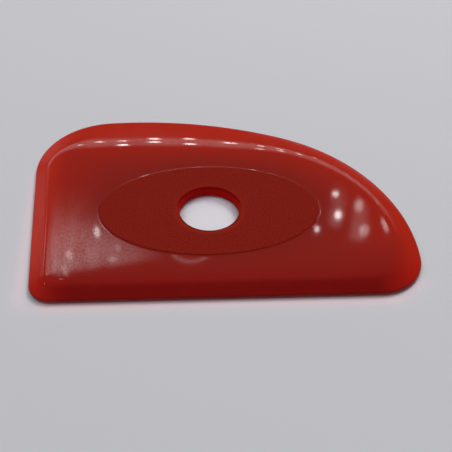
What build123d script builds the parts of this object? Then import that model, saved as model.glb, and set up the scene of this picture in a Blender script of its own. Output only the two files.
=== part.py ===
from build123d import *
import os
from math import acos, cos, degrees, radians, sin, sqrt

os.makedirs("parts", exist_ok=True)

# Overall sizes in millimetres; the rib lies on its lower panel with its straight edge towards -Y
rib_length = 128.5
rib_depth = 88.7
rib_thickness = 4.0

# Finger hole, whose axis is the origin, and where it stands on the blade
hole_diameter = 20.0
hole_round = 1.15
hole_from_left = 60.6
hole_from_straight_edge = 37.6

# Outline: tangent arcs from the leaning left side over the crest and round the nose
side_lean = 3.26
corner_radius = 7.4
far_left_radius = 26.8
top_radius = 139.0
sweep_radius = 65.6
nose_radius = 15.3
crest_share = 0.273

# Thin rounded edge, whose middle is nearer the lower face than the upper one
edge_thickness = 1.5
edge_height = 1.1
edge_round_angle = 72.0

# Bevel between the edge and the flat of each face: wide at the crest, narrow along the other sides
bevel_left = 5.2
bevel_right = 8.0
bevel_near = 5.0
bevel_far = 17.4
shoulder_start_share = 0.62

# Arcs of the flat, in the outline's order
flat_corner_radius = 4.5
flat_left_radius = 8.4
flat_top_radius = 300.0
flat_sweep_radius = 46.8
flat_nose_radius = 13.0

# Oval panel raised on each face round the hole
panel_length = 73.0
panel_depth = 42.4
panel_rise = 0.25
panel_lip = 0.7

# Lip of the panel, from its foot to its top: share of the lip's width, share of the rise
lip_shares = ((1.0, 0.0), (0.7, 0.2), (0.3, 0.8), (0.0, 1.0))

# Sections in each loft
edge_steps = 4
shoulder_steps = 6

rim_left = -hole_from_left
rim_right = rib_length - hole_from_left
rim_near = -hole_from_straight_edge
rim_far = rib_depth - hole_from_straight_edge
edge_radius = edge_thickness / 2
panel_height = rib_thickness / 2
face_height = panel_height - panel_rise
rim_height = edge_height - panel_height

# Top of the rounded edge, where the bevel starts
foot_height = edge_radius * sin(radians(edge_round_angle))
foot_inset = edge_radius * (1 - cos(radians(edge_round_angle)))


def outline(height, inset, share):
    """Section at a height, drawn in from the rim by an inset and by a share of the bevel's widths."""
    left = rim_left + inset + bevel_left * share
    right = rim_right - inset - bevel_right * share
    near = rim_near + inset + bevel_near * share
    far = rim_far - inset - bevel_far * share

    def radius(at_rim, at_flat):
        return (at_rim - inset) * (1 - share) + at_flat * share

    side_radius = radius(far_left_radius, flat_left_radius)
    crest_radius = radius(top_radius, flat_top_radius)
    long_radius = radius(sweep_radius, flat_sweep_radius)
    tip_radius = radius(nose_radius, flat_nose_radius)
    foot_radius = radius(corner_radius, flat_corner_radius)

    # Centres of the arcs: each arc touches the next one from inside
    crest = Vector(rim_left + rib_length * crest_share, far - crest_radius)
    tip = Vector(right - tip_radius, near + tip_radius)
    side_x = left + side_radius
    side_reach = crest_radius - side_radius
    side = Vector(side_x, crest.Y + sqrt(side_reach**2 - (side_x - crest.X) ** 2))
    span = tip - crest
    long_reach = crest_radius - long_radius
    tip_reach = long_radius - tip_radius
    turn = acos(
        (long_reach**2 + span.length**2 - tip_reach**2) / (2 * long_reach * span.length)
    )
    long = crest + span.normalized().rotate(Axis.Z, degrees(turn)) * long_reach

    # Points where the arcs and the two straight sides meet
    tip_start = Vector(tip.X, near)
    tip_end = long + (tip - long).normalized() * long_radius
    long_end = crest + (long - crest).normalized() * crest_radius
    crest_end = crest + (side - crest).normalized() * crest_radius
    side_end = side + Vector(-side_radius, 0).rotate(Axis.Z, side_lean)
    down = Vector(0, -1).rotate(Axis.Z, side_lean)
    foot = side_end + down * ((near - side_end.Y) / down.Y)

    with BuildSketch(Plane.XY.offset(height)) as section:
        with BuildLine():
            FilletPolyline(side_end, foot, tip_start, radius=foot_radius)
            nose_arc = TangentArc(tip_start, tip_end, tangent=(1, 0))
            sweep_arc = TangentArc(tip_end, long_end, tangent=nose_arc % 1)
            crest_arc = TangentArc(long_end, crest_end, tangent=sweep_arc % 1)
            TangentArc(crest_end, side_end, tangent=crest_arc % 1)
        make_face()
    return section.sketch


def edge_section(side, step):
    """Section of the quarter-round edge, from its middle to the foot of a face's bevel."""
    angle = radians(edge_round_angle * step / edge_steps)
    return outline(rim_height + side * edge_radius * sin(angle), edge_radius * (1 - cos(angle)), 0)


def bevel_section(side, share):
    """Section of a face's bevel, which climbs straight and then rounds over into the flat."""
    face_reach = face_height - side * rim_height - foot_height
    rounding = max(share - shoulder_start_share, 0) ** 2 / (2 * (1 - shoulder_start_share))
    rise = 2 / (1 + shoulder_start_share) * (share - rounding)
    return outline(rim_height + side * (foot_height + face_reach * rise), foot_inset, share)


def shoulder_section(side, step):
    """Section of the rounded shoulder, from the straight bevel to the flat."""
    return bevel_section(side, shoulder_start_share + (1 - shoulder_start_share) * step / shoulder_steps)


def panel_section(height, out_share):
    """Section of the panel's oval, widened by a share of its lip."""
    widening = panel_lip * out_share
    with BuildSketch(Plane.XY.offset(height)) as section:
        Ellipse(panel_length / 2 + widening, panel_depth / 2 + widening)
    return section.sketch


with BuildPart() as rib_body:
    # Upper half, then lower half, each with its raised oval panel
    for side in (1, -1):
        edge_sections = [edge_section(side, step) for step in range(edge_steps + 1)]
        shoulder_sections = [shoulder_section(side, step) for step in range(shoulder_steps + 1)]
        loft(sections=edge_sections + shoulder_sections, ruled=True)
        core_section = panel_section(0, lip_shares[0][0])
        lip_sections = [
            panel_section(side * (face_height + panel_rise * up_share), out_share)
            for out_share, up_share in lip_shares
        ]
        loft(sections=[core_section] + lip_sections, ruled=True)

    # Finger hole with rounded rims
    Hole(hole_diameter / 2)
    hole_rims = rib_body.edges().filter_by(GeomType.CIRCLE).filter_by(
        lambda edge: edge.is_closed and edge.radius == hole_diameter / 2
    )
    fillet(hole_rims, hole_round)

rib_body.part.label = "rib_body"
export_step(rib_body.part, "parts/rib_body.step")
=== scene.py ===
from math import acos, atan2, cos, pi, radians, sin, sqrt, tan

import bmesh
import bpy
from bpy.props import FloatProperty, FloatVectorProperty, PointerProperty
from mathutils import Matrix, Vector
from mathutils.bvhtree import BVHTree
from mathutils.interpolate import poly_3d_calc


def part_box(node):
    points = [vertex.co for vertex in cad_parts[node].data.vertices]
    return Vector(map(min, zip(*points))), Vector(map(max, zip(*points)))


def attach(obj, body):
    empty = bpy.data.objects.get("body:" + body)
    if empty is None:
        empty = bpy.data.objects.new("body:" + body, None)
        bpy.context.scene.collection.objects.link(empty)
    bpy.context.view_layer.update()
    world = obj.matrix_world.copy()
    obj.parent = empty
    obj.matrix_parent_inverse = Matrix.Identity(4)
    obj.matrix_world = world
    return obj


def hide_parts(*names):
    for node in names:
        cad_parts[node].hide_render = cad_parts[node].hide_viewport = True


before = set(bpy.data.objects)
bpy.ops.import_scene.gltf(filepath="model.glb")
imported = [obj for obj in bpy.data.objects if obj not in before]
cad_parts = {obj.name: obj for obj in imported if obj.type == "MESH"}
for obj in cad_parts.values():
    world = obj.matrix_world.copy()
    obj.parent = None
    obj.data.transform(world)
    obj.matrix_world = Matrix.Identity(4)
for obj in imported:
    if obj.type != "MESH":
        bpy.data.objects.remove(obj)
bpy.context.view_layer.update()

bl_info = {
    "name": "Pottery Rib",
    "version": (1, 0, 0),
    "blender": (4, 5, 0),
    "location": "3D View > Sidebar > Pottery Rib",
    "description": "A moulded red finger-hole rib for shaping clay, and its pale studio",
    "category": "Object",
}

BODY = "root"
NODE = "rib_body"
TABLE_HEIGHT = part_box(NODE)[0].z
MILLIMETRE = 0.001
WELD_DISTANCE = 1e-7

# How far across the blade a point stands: 0 at the rim, 1 where the bevel meets the flat, 2 further in
RIM_LAYER = "bevel_share"
MIDDLE_SHARE = 2.0

# Steps along the outline, in the order in which it is traced
NOSE_STEPS = 44
SWEEP_STEPS = 84
CREST_STEPS = 64
SIDE_STEPS = 40
LEAN_STEPS = 28
CORNER_STEPS = 16
NEAR_STEPS = 76

# Rings across the blade, from its rim to the wall of the hole
EDGE_RINGS = 6
BEVEL_RINGS = 16
FLAT_CUTS = 6
LIP_RINGS = 8
LIP_MARGIN = 0.8
PANEL_CUTS = 5
ROUND_RINGS = 8

# Where the blade's colour changes for painted light through its thin edge and painted shade along the
# straight edge: places from the middle of the hole, and shares of the bevel
STRAIGHT_SIDE = (-36 * MILLIMETRE, -16 * MILLIMETRE)
SHORT_SIDE = (-58 * MILLIMETRE, -48 * MILLIMETRE)
OPEN_SIDE = (-36 * MILLIMETRE, -10 * MILLIMETRE)
OPEN_ENDS = (46 * MILLIMETRE, 63 * MILLIMETRE)
NEAR_SHADE_SHARES = (0.6, 1.8)
THIN_SHARES = (0.4, MIDDLE_SHARE)
LIT_SIDE_SHARES = (0.4, 1.6)
LIT_SIDE_DIMMING = 0.7

# Finger hole: its painted glow in shares of its radius, and the painted shade of its rims and painted light
# of its wall in shares of its rounded rim
HOLE_GLOW_SHARE = 1.34
HOLE_GLOW_SIDE = (-8 * MILLIMETRE, 0.0)
HOLE_GLOW_STRENGTH = 0.5
FAR_HOLE_GLOW_STRENGTH = 0.45
FAR_RIM_SHARES = (0.5, 1.4)
FAR_RIM_SIDE = (-1 * MILLIMETRE, 5 * MILLIMETRE)
WALL_SHARE = 0.5
NEAR_RIM_SHARES = (0.6, 1.15)
NEAR_RIM_SIDE = (-7 * MILLIMETRE, 0.0)

# Grain of the panel, and the uneven gloss round it
PANEL_EDGE_SHARES = (1.012, 1.03)
GRAIN_SCALE = 2000.0
GRAIN_DEPTH = 0.12 * MILLIMETRE
PIT_LEVELS = (0.3, 0.6)
NOISE_MIDDLE = 0.5
MOTTLE_SCALE = 260.0
MOTTLE_DETAIL = 3.0
MOTTLE_STRETCH = (1.0, 0.35, 1.0)
MOTTLE_STRENGTH = 0.5
SAND_SCALE = 1800.0
SAND_STRENGTH = 1.1

# The photograph is 452 pixels each way
PICTURE_SIDE = 452
SENSOR_WIDTH = 36.0
CLIP_START = 0.01

# Floor, and the heights between which the room fades from its pale wall to the dim part overhead
FLOOR_SIZE = 30.0
FLOOR_GAP = 0.01 * MILLIMETRE
FLOOR_ROUGHNESS = 0.9
WALL_HEIGHTS = (0.08, 0.3)

# Soft light: where it comes from and how wide it is
FAR_AZIMUTH = radians(58)
FAR_ELEVATION = radians(49)
FAR_SPREAD = radians(26)
HIGH_AZIMUTH = radians(165)
HIGH_ELEVATION = radians(72)
HIGH_SPREAD = radians(56)
BOX_DISTANCE = 0.9
BOX_WIDTH = 0.5

# Brightness across a lamp's face, by distances from its middle in shares of its width and height
FACE_RIM = 0.5
SOFT_CORE = 0.12
RING_INSIDE = 0.36
RING_CREST = 0.44
VEIL_CORE = 0.1
VEIL_FULL = 0.3
VEIL_END = 0.38
BAND_CORE = 0.25
BAND_MIDDLE = 0.15

# Highlights on the flat: pixel of the photograph, width and height in its pixels, and glow
FACE_SPOTS = (
    ((335.5, 194), 9, 7, 34.0),
    ((338, 215), 10, 11, 44.0),
    ((317, 229), 6.5, 7, 40.0),
    ((359, 205.5), 13, 18, 8.0),
    ((364, 230.4), 14, 16, 10.0),
    ((377, 202.5), 22, 24, 8.0),
    ((385, 225), 20, 24, 9.0),
    ((97, 232), 8, 15, 20.0),
    ((45.5, 272), 5, 11, 10.0),
    ((61, 279), 8, 9, 6.0),
    ((69, 255), 9, 14, 7.0),
    ((65, 270), 8, 18, 5.0),
    ((110.5, 232), 60, 60, 8.0),
    ((118, 248), 6, 9, 6.0),
    ((113, 259), 14, 8, 5.0),
)
# Highlights on the rounded shoulder of the crest, from left to right
RIDGE_SPOTS = (
    ((80, 145), 20, 4, 12.0),
    ((100, 142), 18, 4, 12.0),
    ((123, 141), 18, 4, 12.0),
    ((123, 145), 18, 4, 30.0),
    ((154, 139), 20, 4, 22.0),
    ((154, 142), 20, 4, 24.0),
    ((189, 139), 18, 4, 20.0),
    ((190, 144), 18, 4, 30.0),
    ((230, 143), 22, 5, 20.0),
    ((261, 146), 16, 4, 18.0),
    ((260, 149), 16, 4, 16.0),
    ((280, 149), 16, 4, 18.0),
    ((281, 151), 16, 4, 16.0),
    ((299, 154), 16, 4, 14.0),
    ((315, 158), 14, 4, 14.0),
    ((324, 161.5), 30, 3.4, 2.4),
    ((336, 167.5), 30, 3.4, 2.2),
    ((347, 174), 30, 3.4, 2.0),
    ((357, 180.5), 30, 3.4, 1.8),
    ((366, 188), 30, 3.4, 1.6),
)
# Hazes: pixel at the middle, width and height in pixels, and glow
HAZES = (
    ((100, 240), 140, 60, 2.9),
    ((76, 226), 90, 84, 0.8),
    ((361, 214), 22, 60, 2.0),
    ((382, 210), 18, 50, 2.0),
    ((338, 204), 22, 52, 1.6),
    ((53, 246), 26, 80, 1.2),
    ((60, 214), 70, 70, 0.7),
    ((47.5, 246.5), 150, 76, 2.5),
    ((44.5, 246.5), 150, 76, 3.2),
    ((37, 220), 140, 400, 0.6),
)
# Thin ring just below the panel
RINGS = (((191, 250), 42, 26, 5.0),)

# How far off the mirrored lamps stand, and how much taller those are that the rounded shoulder squeezes
GLINT_DISTANCE = 1.5
SHOULDER_STRETCH = 12.0

# Long strip behind the crest, which draws the bright line along its shoulder
STRIP_ELEVATION = radians(29.5)
STRIP_SPAN = radians(84)
STRIP_HEIGHT = 0.44
STRIP_GLOW = 1.9

# Light that passes through to the table: middle and size in millimetres, turn, level and tint
EDGE_TINT = (1.0, 0.28, 0.34)
HOLE_TINT = (1.0, 0.82, 0.92)
PASSED_LIGHTS = (
    ("near light", (2.0, -39.0, -0.8), 112.0, 3.4, 0.0, 0.32, EDGE_TINT),
    ("side light", (-60.6, -6.0, -0.8), 62.0, 3.4, pi / 2, 0.2, EDGE_TINT),
    ("corner light", (-59.6, -37.4, -0.8), 10.0, 4.0, -pi / 4, 0.12, EDGE_TINT),
    ("nose light", (63.0, -35.4, -0.8), 14.0, 3.2, pi / 5, 0.2, EDGE_TINT),
    ("hole light", (0.0, 0.0, -0.9), 16.0, 16.0, 0.0, 0.26, HOLE_TINT),
    ("far hole light", (0.0, 8.4, -0.9), 13.0, 2.6, 0.0, 0.4, HOLE_TINT),
)


def length(name, millimetres, description):
    """Property for a length, whose default is given in millimetres."""
    return FloatProperty(
        name=name,
        description=description,
        default=millimetres * MILLIMETRE,
        min=0.0,
        precision=5,
        subtype="DISTANCE",
        unit="LENGTH",
    )


def colour(name, linear, description):
    """Property for a colour, given as linear red, green and blue."""
    return FloatVectorProperty(
        name=name, description=description, default=linear, size=3, min=0.0, max=1.0, subtype="COLOR"
    )


def amount(name, default, description, highest=1.0):
    """Property for a plain number from 0 up to a highest value."""
    return FloatProperty(name=name, description=description, default=default, min=0.0, max=highest)


def angle(name, degrees, description):
    """Property for an angle, whose default is given in degrees."""
    return FloatProperty(
        name=name, description=description, default=radians(degrees), subtype="ANGLE", unit="ROTATION"
    )


class RibSizes(bpy.types.PropertyGroup):
    """Sizes of the blade."""

    rib_length: length("Length", 128.5, "From the leaning side to the nose")
    rib_depth: length("Depth", 88.7, "From the straight edge to the crest")
    rib_thickness: length("Thickness", 4.0, "Through the two raised panels")
    hole_diameter: length("Hole Diameter", 20.0, "Finger hole")
    hole_round: length("Hole Round", 1.15, "Rounding of the hole's rims")
    hole_from_left: length("Hole from Side", 60.6, "From the leaning side to the middle of the hole")
    hole_from_near: length("Hole from Edge", 37.6, "From the straight edge to the middle of the hole")
    side_lean: angle("Side Lean", 3.26, "How far the short side leans")
    corner_radius: length("Corner Radius", 7.4, "Corner of the short side and the straight edge")
    side_radius: length("Side Radius", 26.8, "Broad corner between the short side and the crest")
    crest_radius: length("Crest Radius", 139.0, "Long flat arc over the crest")
    sweep_radius: length("Sweep Radius", 65.6, "Arc that falls from the crest to the nose")
    nose_radius: length("Nose Radius", 15.3, "Rounded nose")
    crest_share: amount("Crest Share", 0.273, "Where the crest stands along the length")
    edge_thickness: length("Edge Thickness", 1.5, "Thin rounded edge")
    edge_height: length("Edge Height", 1.1, "From the table to the middle of the edge")
    edge_angle: angle("Edge Angle", 72.0, "How far round the edge turns before the bevel")
    bevel_left: length("Side Bevel", 5.2, "Width of the bevel along the short side")
    bevel_right: length("Nose Bevel", 8.0, "Width of the bevel at the nose")
    bevel_near: length("Near Bevel", 5.0, "Width of the bevel along the straight edge")
    bevel_far: length("Crest Bevel", 17.4, "Width of the bevel at the crest")
    shoulder_start: amount("Shoulder Start", 0.62, "Straight share of the bevel, before its rounded shoulder")
    flat_corner_radius: length("Flat Corner Radius", 4.5, "Near corner of the flat")
    flat_side_radius: length("Flat Side Radius", 8.4, "Broad corner of the flat")
    flat_crest_radius: length("Flat Crest Radius", 300.0, "Far side of the flat")
    flat_sweep_radius: length("Flat Sweep Radius", 46.8, "Falling side of the flat")
    flat_nose_radius: length("Flat Nose Radius", 13.0, "Nose of the flat")
    panel_length: length("Panel Length", 73.0, "Top of the oval panel")
    panel_depth: length("Panel Depth", 42.4, "Top of the oval panel")
    panel_rise: length("Panel Rise", 0.25, "How far the panel stands above the flat")
    panel_lip: length("Panel Lip", 0.7, "Width of the panel's lip")


class RibFinish(bpy.types.PropertyGroup):
    """Colours and gloss of the polymer, with painted light through its thin parts and painted shade along the
    straight edge and on the hole's rims.
    """

    deep_colour: colour("Deep Colour", (0.186, 0.0092, 0.006), "Where the blade is thick")
    # Painted light through the thin edge
    edge_colour: colour("Edge Colour", (0.345, 0.0105, 0.0015), "Where light passes the thin edge")
    # Painted shade along the straight edge, where the blade is thick
    shaded_near_deep_colour: colour("Near Deep Colour", (0.19, 0.0024, 0.0012), "Along the straight edge")
    # Painted light through the thin edge at the two ends of the straight edge
    near_lit_edge_colour: colour("Near Edge Colour", (0.345, 0.006, 0.0022), "Two ends of the straight edge")
    # Painted light through the thin edge along the short side
    lit_side_colour: colour("Side Colour", (0.43, 0.022, 0.011), "Thin edge along the short side")
    pit_colour: colour("Pit Colour", (0.15, 0.0055, 0.003), "Pits of the panel's grain")
    panel_colour: colour("Panel Colour", (0.194, 0.0125, 0.0065), "Matte top of the panel")
    # Painted light round the finger hole
    hole_glow_colour: colour("Halo Colour", (0.345, 0.019, 0.006), "Glow round the finger hole")
    # Painted light on the hole's wall, standing in for light that passes through it
    lit_wall_colour: colour("Wall Colour", (0.46, 0.006, 0.005), "Wall of the finger hole")
    # Painted shade on the hole's rim on the straight edge's side
    shaded_near_rim_colour: colour("Near Rim Colour", (0.08, 0.006, 0.004), "Hole's rim on the straight edge's side")
    # Painted shade on the hole's rim on the crest's side
    shaded_far_rim_colour: colour("Far Rim Colour", (0.15, 0.0012, 0.001), "Hole's rim on the crest's side")
    panel_sheen: amount("Panel Sheen", 0.02, "Strength of the matte panel's reflections")
    gloss: amount("Gloss", 0.45, "Strength of the polished face's reflections")
    gloss_roughness: amount("Gloss Roughness", 0.035, "Polished face")
    panel_roughness: amount("Panel Roughness", 0.62, "Matte panel and the polymer under the gloss")


class StageSettings(bpy.types.PropertyGroup):
    """Floor, lamps and camera."""

    floor_colour: colour("Floor Colour", (0.515, 0.514, 0.54), "Pale floor")
    wall_level: amount("Wall Level", 0.5, "Brightness of the room near the horizon, where white is 1")
    fill_level: amount("Fill Level", 0.14, "Brightness of the room overhead")
    far_sun: amount("Far Sun", 1.08, "Main light, from behind the crest", 10.0)
    high_sun: amount("High Sun", 1.02, "Second light, from overhead", 10.0)
    box_level: amount("Softbox Level", 3.1, "Brightness of the softbox behind the crest", 100.0)
    focal_pixels: amount("Focal Length", 900.0, "Camera's focal length in pixels of the photograph", 5000.0)
    distance: length("Camera Distance", 297.29, "From the camera to the point that it looks at")
    elevation: angle("Camera Elevation", 44.11, "Angle above the table")
    yaw: angle("Camera Yaw", -3.68, "Turn about the upright")
    roll: angle("Camera Roll", -1.36, "Turn about the line of sight")
    look_at: FloatVectorProperty(
        name="Look At",
        description="Point that the camera looks at",
        default=(0.00522, -0.00872, 0.002),
        size=3,
        precision=5,
        subtype="TRANSLATION",
        unit="LENGTH",
    )


# Outline


def outline_runs(sizes, inset, share):
    """Start of a loop between the rim and the flat, then its runs: centre, turn, move and steps.

    The loop is drawn in from the rim by an inset all round, and then by a share of the bevel's widths.
    """
    left = -sizes.hole_from_left + inset + sizes.bevel_left * share
    right = sizes.rib_length - sizes.hole_from_left - inset - sizes.bevel_right * share
    near = -sizes.hole_from_near + inset + sizes.bevel_near * share
    far = sizes.rib_depth - sizes.hole_from_near - inset - sizes.bevel_far * share

    def radius(at_rim, at_flat):
        return at_rim - inset + (at_flat - at_rim + inset) * share

    side_radius = radius(sizes.side_radius, sizes.flat_side_radius)
    crest_radius = radius(sizes.crest_radius, sizes.flat_crest_radius)
    sweep_radius = radius(sizes.sweep_radius, sizes.flat_sweep_radius)
    nose_radius = radius(sizes.nose_radius, sizes.flat_nose_radius)
    corner_radius = radius(sizes.corner_radius, sizes.flat_corner_radius)

    crest_x = sizes.rib_length * sizes.crest_share - sizes.hole_from_left
    crest = Vector((crest_x, far - crest_radius))
    nose = Vector((right - nose_radius, near + nose_radius))
    side_x = left + side_radius
    side_reach = crest_radius - side_radius
    side = Vector((side_x, crest.y + sqrt(side_reach**2 - (side_x - crest.x) ** 2)))
    span = nose - crest
    sweep_reach = crest_radius - sweep_radius
    nose_reach = sweep_radius - nose_radius
    opening = (sweep_reach**2 + span.length_squared - nose_reach**2) / (2 * sweep_reach * span.length)
    sweep = crest + span.normalized() @ Matrix.Rotation(-acos(opening), 2) * sweep_reach

    lean = sizes.side_lean
    start = Vector((nose.x, near))
    turns = (
        (nose, -pi / 2, heading(nose - sweep), NOSE_STEPS),
        (sweep, heading(nose - sweep), heading(sweep - crest), SWEEP_STEPS),
        (crest, heading(sweep - crest), heading(side - crest), CREST_STEPS),
        (side, heading(side - crest), pi + lean, SIDE_STEPS),
    )
    still = Vector((0, 0))
    runs = [(centre, last - first, still, steps) for centre, first, last, steps in turns]
    side_end = side + Vector((cos(pi + lean), sin(pi + lean))) * side_radius
    down = Vector((sin(lean), -cos(lean)))
    foot = side_end + down * ((near - side_end.y) / down.y)
    corner_turn = pi / 2 - lean
    corner_reach = corner_radius * tan(corner_turn / 2)
    corner_start = foot - down * corner_reach
    corner = Vector((foot.x + corner_reach, near + corner_radius))
    runs.append((still, 0, corner_start - side_end, LEAN_STEPS))
    runs.append((corner, corner_turn, still, CORNER_STEPS))
    runs.append((still, 0, start - Vector((corner.x, near)), NEAR_STEPS))
    return start, runs


def heading(direction):
    """Angle of a direction in the table's plane, from +X."""
    return atan2(direction.y, direction.x)


def outline_ring(bm, sizes, inset, share, height):
    """Closed loop between the rim and the flat: its edges, with the rim layer set to its share."""
    tracing = bmesh.new()
    start, runs = outline_runs(sizes, inset, share)
    first = last = tracing.verts.new((start.x, start.y, height))
    for centre, turn, move, steps in runs:
        spun = bmesh.ops.spin(
            tracing,
            geom=[last],
            cent=(centre.x, centre.y, height),
            axis=(0, 0, 1),
            dvec=(move.x / steps, move.y / steps, 0),
            angle=turn,
            steps=steps,
            use_merge=False,
            use_normal_flip=False,
            use_duplicate=False,
        )
        last = spun["geom_last"][0]
    bmesh.ops.weld_verts(tracing, targetmap={last: first})
    before = set(bm.edges)
    add_mesh(bm, tracing)
    layer = bm.verts.layers.float[RIM_LAYER]
    ring = [edge for edge in bm.edges if edge not in before]
    for edge in ring:
        for point in edge.verts:
            point[layer] = share
    return ring


class OvalRing:
    """Innermost loop of the blade so far, extruded inwards from oval to oval."""

    def __init__(self, bm, ring, half_length, half_depth, height):
        self.bm = bm
        self.edges = ring
        self.half_length = half_length
        self.half_depth = half_depth
        self.height = height
        for point in self.extrude():
            stretch = sqrt((point.co.x / half_length) ** 2 + (point.co.y / half_depth) ** 2)
            point.co.xy /= stretch

    def extrude(self):
        """Extrudes the loop in place. Keeps the rungs to its copy, and gives the copy's points."""
        grown = bmesh.ops.extrude_edge_only(self.bm, edges=self.edges)["geom"]
        points = [part for part in grown if isinstance(part, bmesh.types.BMVert)]
        outer = {point for edge in self.edges for point in edge.verts}
        spokes = [(edge, point) for point in points for edge in point.link_edges]
        self.rungs = [edge for edge, point in spokes if edge.other_vert(point) in outer]
        self.edges = [part for part in grown if isinstance(part, bmesh.types.BMEdge)]
        self.edges = [edge for edge in self.edges if not outer.intersection(edge.verts)]
        return points

    def to(self, half_length, half_depth, height):
        """Makes the next oval. Gives the rungs that lead to it."""
        points = self.extrude()
        grow = (half_length / self.half_length, half_depth / self.half_depth, 1.0)
        bmesh.ops.scale(self.bm, vec=grow, verts=points)
        bmesh.ops.translate(self.bm, vec=(0, 0, height - self.height), verts=points)
        self.half_length, self.half_depth, self.height = half_length, half_depth, height
        return self.rungs


def face_height(sizes):
    """Height of the flat round the panel, from mid-thickness."""
    return sizes.rib_thickness / 2 - sizes.panel_rise


def bevel_loops(bm, sizes, side):
    """Rounded edge and bevel, from the rim to the flat. Gives the flat's own loop."""
    edge_radius = sizes.edge_thickness / 2
    rim_plane = sizes.edge_height - sizes.rib_thickness / 2
    foot_height = edge_radius * sin(sizes.edge_angle)
    foot_inset = edge_radius * (1 - cos(sizes.edge_angle))
    bevel_height = face_height(sizes) - side * rim_plane - foot_height

    loops = []
    for step in range(EDGE_RINGS):
        turn = sizes.edge_angle * step / EDGE_RINGS
        height = rim_plane + side * edge_radius * sin(turn)
        loops.append(outline_ring(bm, sizes, edge_radius * (1 - cos(turn)), 0, height))
    for step in range(BEVEL_RINGS + 1):
        share = step / BEVEL_RINGS
        height = rim_plane + side * (foot_height + bevel_height * bevel_rise(sizes, share))
        loops.append(outline_ring(bm, sizes, foot_inset, share, height))
    for outer, inner in zip(loops, loops[1:]):
        bmesh.ops.bridge_loops(bm, edges=outer + inner)
    return loops[-1]


def bevel_rise(sizes, share):
    """Height share of the bevel: straight at first, then rounding over its shoulder into the flat."""
    start = sizes.shoulder_start
    slope = 2 / (1 + start)
    round_off = max(share - start, 0.0) ** 2 / (2 * (1 - start))
    return slope * (share - round_off)


def raise_panel(bm, sizes, side, flat_loop):
    """Raised panel: a ring round its lip, the lip's smooth climb and a ring on its top.

    Gives the ovals, for the hole to go on from, and the rungs that cross the flat.
    """

    def oval(out_share, up_share):
        widening = sizes.panel_lip * out_share
        height = side * (face_height(sizes) + sizes.panel_rise * up_share)
        return sizes.panel_length / 2 + widening, sizes.panel_depth / 2 + widening, height

    ovals = OvalRing(bm, flat_loop, *oval(1 + LIP_MARGIN, 0))
    flat_rungs = ovals.rungs
    for step in range(LIP_RINGS + 1):
        share = step / LIP_RINGS
        ovals.to(*oval(1 - share, share**2 * (3 - 2 * share)))
    ovals.to(*oval(-LIP_MARGIN, 1))
    return ovals, flat_rungs


def round_hole(sizes, side, ovals):
    """Rounded rim and wall of the hole. Gives the rungs that cross the top of the panel."""
    hole_radius = sizes.hole_diameter / 2
    rim_height = sizes.rib_thickness / 2 - sizes.hole_round
    rungs = []
    for step in range(ROUND_RINGS + 1):
        turn = pi / 2 * step / ROUND_RINGS
        radius = hole_radius + sizes.hole_round * (1 - sin(turn))
        rungs.append(ovals.to(radius, radius, side * (rim_height + sizes.hole_round * cos(turn))))
    ovals.to(hole_radius, hole_radius, 0)
    return rungs[0]


def half_blade(sizes, side):
    """Upper half of the blade where side is 1, lower half where it is -1, from the rim to the hole's wall."""
    bm = bmesh.new()
    layer = bm.verts.layers.float.new(RIM_LAYER)
    flat_loop = bevel_loops(bm, sizes, side)
    outside = set(bm.verts)
    ovals, flat_rungs = raise_panel(bm, sizes, side, flat_loop)
    panel_rungs = round_hole(sizes, side, ovals)
    for point in bm.verts:
        if point not in outside:
            point[layer] = MIDDLE_SHARE
    bmesh.ops.subdivide_edges(bm, edges=flat_rungs, cuts=FLAT_CUTS, use_grid_fill=True)
    bmesh.ops.subdivide_edges(bm, edges=panel_rungs, cuts=PANEL_CUTS, use_grid_fill=True)
    return bm


def add_mesh(bm, added):
    """Copies a bmesh into another one, and frees it."""
    made = bpy.data.meshes.new("added")
    added.to_mesh(made)
    added.free()
    bm.from_mesh(made)
    bpy.data.meshes.remove(made)


def blade_mesh(sizes):
    """The whole blade, its two halves joined at the rim and in the hole."""
    bm = bmesh.new()
    for side in (1, -1):
        add_mesh(bm, half_blade(sizes, side))
    bmesh.ops.remove_doubles(bm, verts=bm.verts, dist=WELD_DISTANCE)
    bmesh.ops.recalc_face_normals(bm, faces=bm.faces)
    for face in bm.faces:
        face.smooth = True
    return bm


def keep_mesh(bm, name):
    """The finished mesh as an object at the origin."""
    mesh = bpy.data.meshes.new(name)
    bm.to_mesh(mesh)
    bm.free()
    piece = bpy.data.objects.new(name, mesh)
    bpy.context.scene.collection.objects.link(piece)
    return piece


# Shader wiring


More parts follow.
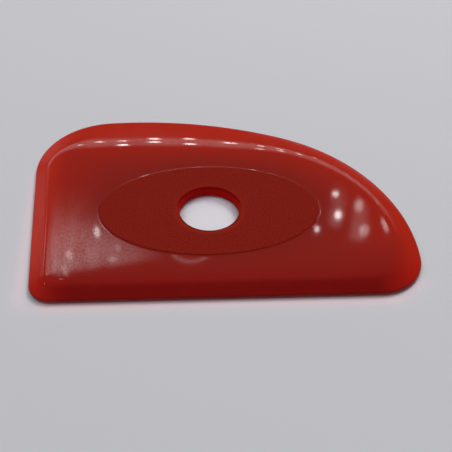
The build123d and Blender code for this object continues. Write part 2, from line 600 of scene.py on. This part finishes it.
class Wire:
    """A socket whose sums, products and other maths add Math nodes to its tree."""

    def __init__(self, tree, socket=None):
        self.tree = tree
        self.socket = socket

    def add(self, kind, settings, inputs):
        """New node of a kind, with its settings made first, then its sockets' values or links."""
        node = self.tree.nodes.new(kind)
        for name, value in settings.items():
            setattr(node, name, value)
        for name, value in inputs.items():
            if isinstance(value, Wire):
                self.tree.links.new(value.socket, node.inputs[name])
            else:
                node.inputs[name].default_value = value
        return node

    def out(self, node, name=0):
        """Output of a node, as a wire."""
        return Wire(self.tree, node.outputs[name])

    def maths(self, operation, *values):
        """Math node that takes wires and plain numbers."""
        return self.out(self.add("ShaderNodeMath", {"operation": operation}, dict(enumerate(values))))

    def __add__(self, other):
        return self.maths("ADD", self, other)

    __radd__ = __add__

    def __sub__(self, other):
        return self.maths("SUBTRACT", self, other)

    def __rsub__(self, other):
        return self.maths("SUBTRACT", other, self)

    def __mul__(self, other):
        return self.maths("MULTIPLY", self, other)

    __rmul__ = __mul__

    def __pow__(self, other):
        return self.maths("POWER", self, other)

    def __abs__(self):
        return self.maths("ABSOLUTE", self)

    def largest(self, other):
        return self.maths("MAXIMUM", self, other)

    def ramp(self, low, high, start=0.0, end=1.0):
        """Smooth climb from start to end while this goes from low to high."""
        inputs = {"Value": self, "From Min": low, "From Max": high, "To Min": start, "To Max": end}
        return self.out(self.add("ShaderNodeMapRange", {"interpolation_type": "SMOOTHSTEP"}, inputs))

    def smooth_fall(self, low, high):
        """Smooth fall from 1 to 0 while this goes from low to high."""
        return self.ramp(low, high, 1.0, 0.0)

    def straight_fall(self, low, high):
        """Straight fall from 1 to 0 while this goes from low to high."""
        inputs = {"Value": self, "From Min": low, "From Max": high, "To Min": 1.0, "To Max": 0.0}
        return self.out(self.add("ShaderNodeMapRange", {"clamp": True}, inputs))

    def noise(self, scale, detail=2.0, stretch=(1.0, 1.0, 1.0)):
        """Noise at a place, which this wire holds."""
        place = self.out(self.add("ShaderNodeMapping", {}, {"Vector": self, "Scale": stretch}))
        inputs = {"Vector": place, "Scale": scale, "Detail": detail}
        return self.out(self.add("ShaderNodeTexNoise", {}, inputs), "Fac")

    def colour(self, linear):
        """A fixed colour."""
        node = self.add("ShaderNodeRGB", {}, {})
        node.outputs[0].default_value = opaque(linear)
        return self.out(node)

    def blend(self, other, share):
        """This colour turned by a share towards another, which is a wire or a fixed colour."""
        settings = {"data_type": "RGBA", "blend_type": "MIX"}
        if not isinstance(other, Wire):
            other = opaque(other)
        node = self.add("ShaderNodeMix", settings, {0: share, 6: self, 7: other})
        return self.out(node, 2)


def opaque(linear):
    """A linear colour with its alpha."""
    return (*linear, 1.0)


def reach(across, up):
    """Distance from the middle."""
    return (across**2 + up**2) ** 0.5


def empty_tree(owner):
    """Clears the nodes of a material, a lamp or a world, and gives a wire to start from."""
    owner.use_nodes = True
    owner.node_tree.nodes.clear()
    return Wire(owner.node_tree)


def surface(start, inputs):
    """Ends a material's tree with a shader and its output."""
    shader = start.add("ShaderNodeBsdfPrincipled", {}, inputs)
    start.add("ShaderNodeOutputMaterial", {}, {"Surface": start.out(shader)})


def blade_colour(start, finish, sizes, x, y):
    """Colour of the blade, with painted light where light passes its thin edge on every side but the straight
    one, and painted shade along the straight edge.
    """
    bevel = start.out(start.add("ShaderNodeAttribute", {"attribute_name": RIM_LAYER}, {}), "Fac")
    straight_side = y.smooth_fall(*STRAIGHT_SIDE)
    short_side = x.smooth_fall(*SHORT_SIDE)
    ends = abs(x - (sizes.rib_length / 2 - sizes.hole_from_left))
    open_side = y.ramp(*OPEN_SIDE).largest(ends.ramp(*OPEN_ENDS))

    # Painted shade along the straight edge, where the blade is thick
    near_shade = straight_side * bevel.straight_fall(*NEAR_SHADE_SHARES)
    deep = start.colour(finish.deep_colour).blend(finish.shaded_near_deep_colour, near_shade)
    edge = start.colour(finish.edge_colour).blend(finish.near_lit_edge_colour, straight_side)
    # Painted light through the thin edge on the open sides
    body = deep.blend(edge, bevel.straight_fall(*THIN_SHARES) * open_side)
    # Painted light through the thin edge along the short side
    lit_side = short_side * bevel.straight_fall(*LIT_SIDE_SHARES) * (1 - straight_side * LIT_SIDE_DIMMING)
    return body.blend(finish.lit_side_colour, lit_side)


def hole_colour(body, finish, sizes, x, y):
    """The body's colour with the painted glow round the finger hole, painted shade on its rounded rims and
    painted light on its wall.
    """
    hole_reach = reach(x, y)
    radius = sizes.hole_diameter / 2

    def on_rim(share):
        return radius + sizes.hole_round * share

    # Painted light round the finger hole, from light passing through its wall
    hole_glow = hole_reach.smooth_fall(radius, radius * HOLE_GLOW_SHARE) * y.ramp(*HOLE_GLOW_SIDE, 1.0, FAR_HOLE_GLOW_STRENGTH)
    body = body.blend(finish.hole_glow_colour, hole_glow * HOLE_GLOW_STRENGTH)
    # Painted shade on the hole's rounded rim on the crest's side
    far_rim_shade = hole_reach.smooth_fall(*map(on_rim, FAR_RIM_SHARES)) * y.ramp(*FAR_RIM_SIDE)
    body = body.blend(finish.shaded_far_rim_colour, far_rim_shade)
    # Painted light on the hole's wall
    body = body.blend(finish.lit_wall_colour, hole_reach.smooth_fall(radius, on_rim(WALL_SHARE)))
    # Painted shade on the hole's rounded rim on the straight edge's side
    near_rim_shade = hole_reach.smooth_fall(*map(on_rim, NEAR_RIM_SHARES)) * y.smooth_fall(*NEAR_RIM_SIDE)
    return body.blend(finish.shaded_near_rim_colour, near_rim_shade)


def polymer(finish, sizes):
    """Glossy red polymer, with painted light where it is thin and round the finger hole, painted shade along
    the straight edge and on the hole's rims, and a matte stippled panel.
    """
    material = bpy.data.materials.new("red polymer")
    start = empty_tree(material)
    place = start.out(start.add("ShaderNodeTexCoord", {}, {}), "Object")
    split = start.add("ShaderNodeSeparateXYZ", {}, {"Vector": place})
    x, y = start.out(split, "X"), start.out(split, "Y")
    panel_reach = reach(x * (2 / sizes.panel_length), y * (2 / sizes.panel_depth))
    panel = panel_reach.smooth_fall(*PANEL_EDGE_SHARES)
    grain = place.noise(GRAIN_SCALE)

    body = blade_colour(start, finish, sizes, x, y)
    stipple = start.colour(finish.panel_colour).blend(finish.pit_colour, grain.smooth_fall(*PIT_LEVELS))
    body = hole_colour(body.blend(stipple, panel), finish, sizes, x, y)

    mottle = place.noise(MOTTLE_SCALE, MOTTLE_DETAIL, MOTTLE_STRETCH) - NOISE_MIDDLE
    sand = place.noise(SAND_SCALE) - NOISE_MIDDLE
    gloss = (1 - panel) * (finish.gloss + mottle * MOTTLE_STRENGTH + sand * SAND_STRENGTH)
    relief = grain * panel * GRAIN_DEPTH
    bump = start.add("ShaderNodeBump", {}, {"Strength": 1.0, "Distance": 1.0, "Height": relief})
    inputs = {
        "Base Color": body,
        "Roughness": finish.panel_roughness,
        "Specular IOR Level": finish.panel_sheen,
        "Coat Weight": gloss,
        "Coat Roughness": finish.gloss_roughness,
        "Normal": start.out(bump, "Normal"),
    }
    surface(start, inputs)
    return material


# Camera and lamps


def camera_axes(settings):
    """Camera's right, up and back directions, after its roll."""
    sight = towards(settings.yaw + pi / 2, -settings.elevation)
    right = Vector((cos(settings.yaw), sin(settings.yaw), 0.0))
    up = right.cross(sight)
    turned_right = right * cos(settings.roll) - up * sin(settings.roll)
    turned_up = right * sin(settings.roll) + up * cos(settings.roll)
    return turned_right, turned_up, -sight


def towards(azimuth, elevation):
    """Direction at an azimuth and an elevation."""
    flat = cos(elevation)
    return Vector((cos(azimuth) * flat, sin(azimuth) * flat, sin(elevation)))


def place_camera(settings):
    """Camera that sees the blade as the photograph does."""
    data = bpy.data.cameras.new("camera")
    data.sensor_width = SENSOR_WIDTH
    data.lens = settings.focal_pixels / PICTURE_SIDE * SENSOR_WIDTH
    data.clip_start = CLIP_START
    camera = bpy.data.objects.new("camera", data)
    bpy.context.scene.collection.objects.link(camera)
    right, up, back = camera_axes(settings)
    turn = Matrix((right, up, back)).transposed().to_4x4()
    place = Vector(settings.look_at) + back * settings.distance
    camera.matrix_world = Matrix.Translation(place) @ turn
    bpy.context.scene.camera = camera


def pixel_ray(settings, pixel):
    """From the camera through a pixel of the photograph."""
    right, up, back = camera_axes(settings)
    across = (pixel[0] - PICTURE_SIDE / 2) / settings.focal_pixels
    above = (PICTURE_SIDE / 2 - pixel[1]) / settings.focal_pixels
    origin = Vector(settings.look_at) + back * settings.distance
    return origin, (right * across + up * above - back).normalized()


class Mirror:
    """The dressed blade as a mirror: where a lamp has to stand to shine at a pixel of the photograph."""

    def __init__(self, settings, piece):
        self.settings = settings
        self.mesh = piece.data
        points = [point.co.copy() for point in self.mesh.vertices]
        faces = [list(face.vertices) for face in self.mesh.polygons]
        self.tree = BVHTree.FromPolygons(points, faces)

    def seen(self, pixel, distance):
        """Place that shows at a pixel, at a distance from the blade."""
        origin, sight = pixel_ray(self.settings, pixel)
        place, _, face, _ = self.tree.ray_cast(origin, sight)
        if place is None:
            raise ValueError(f"pixel {pixel} misses the blade")
        corners = [self.mesh.vertices[index] for index in self.mesh.polygons[face].vertices]
        shares = poly_3d_calc([corner.co for corner in corners], place)
        normal = Vector()
        for share, corner in zip(shares, corners):
            normal += corner.normal * share
        return place + sight.reflect(normal.normalized()) * distance


def new_lamp(name, kind, place, target=Vector(), along=None):
    """Lamp at a place, facing a target, with its width along a direction where one is given."""
    lamp = bpy.data.objects.new(name, bpy.data.lights.new(name, kind))
    bpy.context.scene.collection.objects.link(lamp)
    back = (place - target).normalized()
    side = along if along is not None else Vector((0, 0, 1)).cross(back)
    side = (side - back * side.dot(back)).normalized()
    turn = Matrix((side, back.cross(side), back)).transposed().to_4x4()
    lamp.matrix_world = Matrix.Translation(place) @ turn
    return lamp


def size_lamp(lamp, width, height, glow):
    """Gives an area lamp its size, and a face as bright as its glow says, where white is 1."""
    lamp.data.shape = "RECTANGLE"
    lamp.data.size = width
    lamp.data.size_y = height
    lamp.data.energy = glow * pi * width * height


def shade_lamp(lamp, profile):
    """Varies the brightness across a lamp's face, by the distances across and up from its middle."""
    start = empty_tree(lamp.data)
    place = start.out(start.add("ShaderNodeNewGeometry", {}, {}), "Parametric")
    split = start.add("ShaderNodeSeparateXYZ", {}, {"Vector": place})
    glow = profile(start.out(split, "X") - FACE_RIM, start.out(split, "Y") - FACE_RIM)
    emission = start.add("ShaderNodeEmission", {}, {"Strength": glow})
    start.add("ShaderNodeOutputLight", {}, {"Surface": start.out(emission)})


def soft(across, up):
    """Round glow that fades towards its rim."""
    return reach(across, up).smooth_fall(SOFT_CORE, FACE_RIM)


def ring(across, up):
    """Thin soft ring."""
    out = reach(across, up)
    return out.ramp(RING_INSIDE, RING_CREST) * out.smooth_fall(RING_CREST, FACE_RIM)


def veil(across, up):
    """Haze that ends at its top edge and fades downwards and to the sides."""
    sides = abs(across).smooth_fall(VEIL_CORE, FACE_RIM)
    return sides * up.ramp(-FACE_RIM, VEIL_FULL) * up.smooth_fall(VEIL_END, FACE_RIM)


def band(across, up):
    """Strip that fades towards its long edges and its ends."""
    return abs(across).smooth_fall(BAND_CORE, FACE_RIM) * abs(up).smooth_fall(BAND_MIDDLE, FACE_RIM)


def place_soft_lights(settings):
    """A softbox and two wide suns, which light the blade without showing in its gloss."""
    far = towards(FAR_AZIMUTH, FAR_ELEVATION)
    high = towards(HIGH_AZIMUTH, HIGH_ELEVATION)
    box = new_lamp("far softbox", "AREA", far * BOX_DISTANCE)
    size_lamp(box, BOX_WIDTH, BOX_WIDTH, settings.box_level)
    box.visible_glossy = False
    suns = (
        ("far sun", far, FAR_SPREAD, settings.far_sun),
        ("high sun", high, HIGH_SPREAD, settings.high_sun),
    )
    for name, place, spread, strength in suns:
        sun = new_lamp(name, "SUN", place)
        sun.data.angle = spread
        sun.data.energy = strength
        sun.visible_glossy = False


def place_glints(settings, piece):
    """Lamps that the polished face mirrors as the photograph's highlights and hazes."""
    mirror = Mirror(settings, piece)
    pixel_size = (settings.distance + GLINT_DISTANCE) / settings.focal_pixels
    groups = (
        ("face glint", FACE_SPOTS, 1.0, soft),
        ("ridge glint", RIDGE_SPOTS, SHOULDER_STRETCH, soft),
        ("haze", HAZES, 1.0, veil),
        ("ring glint", RINGS, 1.0, ring),
    )
    for name, spots, stretch, profile in groups:
        for number, (pixel, width, height, glow) in enumerate(spots):
            lamp = new_lamp(f"{name} {number}", "AREA", mirror.seen(pixel, GLINT_DISTANCE))
            size_lamp(lamp, width * pixel_size, height * pixel_size * stretch, glow)
            shade_lamp(lamp, profile)
    strip = new_lamp("ridge strip", "AREA", towards(pi / 2, STRIP_ELEVATION) * GLINT_DISTANCE)
    size_lamp(strip, GLINT_DISTANCE * STRIP_SPAN, STRIP_HEIGHT, STRIP_GLOW)
    shade_lamp(strip, band)


def pass_light():
    """Pinkish light below the edge and the hole, which shines on the table only."""
    for name, middle, width, height, turn, level, tint in PASSED_LIGHTS:
        place = Vector(middle) * MILLIMETRE
        passed = new_lamp(name, "AREA", place, place - Vector((0, 0, 1)), towards(turn, 0))
        size_lamp(passed, width * MILLIMETRE, height * MILLIMETRE, level)
        passed.data.color = tint
        passed.visible_camera = False
        passed.visible_glossy = False


def place_floor(settings):
    """Pale floor just below the blade."""
    bm = bmesh.new()
    bmesh.ops.create_grid(bm, x_segments=1, y_segments=1, size=FLOOR_SIZE)
    bmesh.ops.translate(bm, vec=(0, 0, TABLE_HEIGHT - FLOOR_GAP), verts=bm.verts)
    floor = keep_mesh(bm, "floor")
    material = bpy.data.materials.new("pale table")
    looks = {
        "Base Color": opaque(settings.floor_colour),
        "Roughness": FLOOR_ROUGHNESS,
        "Specular IOR Level": 0.0,
    }
    surface(empty_tree(material), looks)
    floor.data.materials.append(material)


def light_world(settings):
    """Room that is pale near the horizon and dim overhead."""
    world = bpy.data.worlds.new("studio air")
    bpy.context.scene.world = world
    start = empty_tree(world)
    direction = start.out(start.add("ShaderNodeTexCoord", {}, {}), "Generated")
    height = start.out(start.add("ShaderNodeSeparateXYZ", {}, {"Vector": direction}), "Z")
    strength = height.ramp(*WALL_HEIGHTS, settings.wall_level, settings.fill_level)
    light = start.add("ShaderNodeBackground", {}, {"Color": (1, 1, 1, 1), "Strength": strength})
    start.add("ShaderNodeOutputWorld", {}, {"Surface": start.out(light)})


class POTTERYRIB_OT_blade(bpy.types.Operator):
    """Make the moulded blade and its red polymer"""

    bl_idname = "pottery_rib.blade"
    bl_label = "Make Blade"

    def execute(self, context):
        scene = context.scene
        blade = keep_mesh(blade_mesh(scene.rib_sizes), "rib_blade")
        blade.data.materials.append(polymer(scene.rib_finish, scene.rib_sizes))
        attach(blade, BODY)
        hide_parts(NODE)
        return {"FINISHED"}


class POTTERYRIB_OT_stage(bpy.types.Operator):
    """Set up the floor, the lamps and the camera"""

    bl_idname = "pottery_rib.stage"
    bl_label = "Set Stage"

    def execute(self, context):
        scene = context.scene
        settings = scene.rib_stage
        scene.view_settings.view_transform = "Standard"
        place_floor(settings)
        light_world(settings)
        place_camera(settings)
        place_soft_lights(settings)
        place_glints(settings, scene.objects["rib_blade"])
        pass_light()
        return {"FINISHED"}


class POTTERYRIB_PT_sidebar(bpy.types.Panel):
    """Steps that make the rib and its studio"""

    bl_label = "Pottery Rib"
    bl_idname = "POTTERYRIB_PT_sidebar"
    bl_space_type = "VIEW_3D"
    bl_region_type = "UI"
    bl_category = "Pottery Rib"

    def draw(self, context):
        for operator in OPERATORS:
            self.layout.operator(operator.bl_idname)


GROUPS = {"rib_sizes": RibSizes, "rib_finish": RibFinish, "rib_stage": StageSettings}
OPERATORS = (POTTERYRIB_OT_blade, POTTERYRIB_OT_stage)


def register():
    for group in GROUPS.values():
        bpy.utils.register_class(group)
    for name, group in GROUPS.items():
        setattr(bpy.types.Scene, name, PointerProperty(type=group))
    for added in (*OPERATORS, POTTERYRIB_PT_sidebar):
        bpy.utils.register_class(added)


def unregister():
    for added in reversed((*OPERATORS, POTTERYRIB_PT_sidebar)):
        bpy.utils.unregister_class(added)
    for name in GROUPS:
        delattr(bpy.types.Scene, name)
    for group in reversed(GROUPS.values()):
        bpy.utils.unregister_class(group)


def main():
    register()
    bpy.ops.pottery_rib.blade()
    bpy.ops.pottery_rib.stage()


if __name__ == "__main__":
    main()
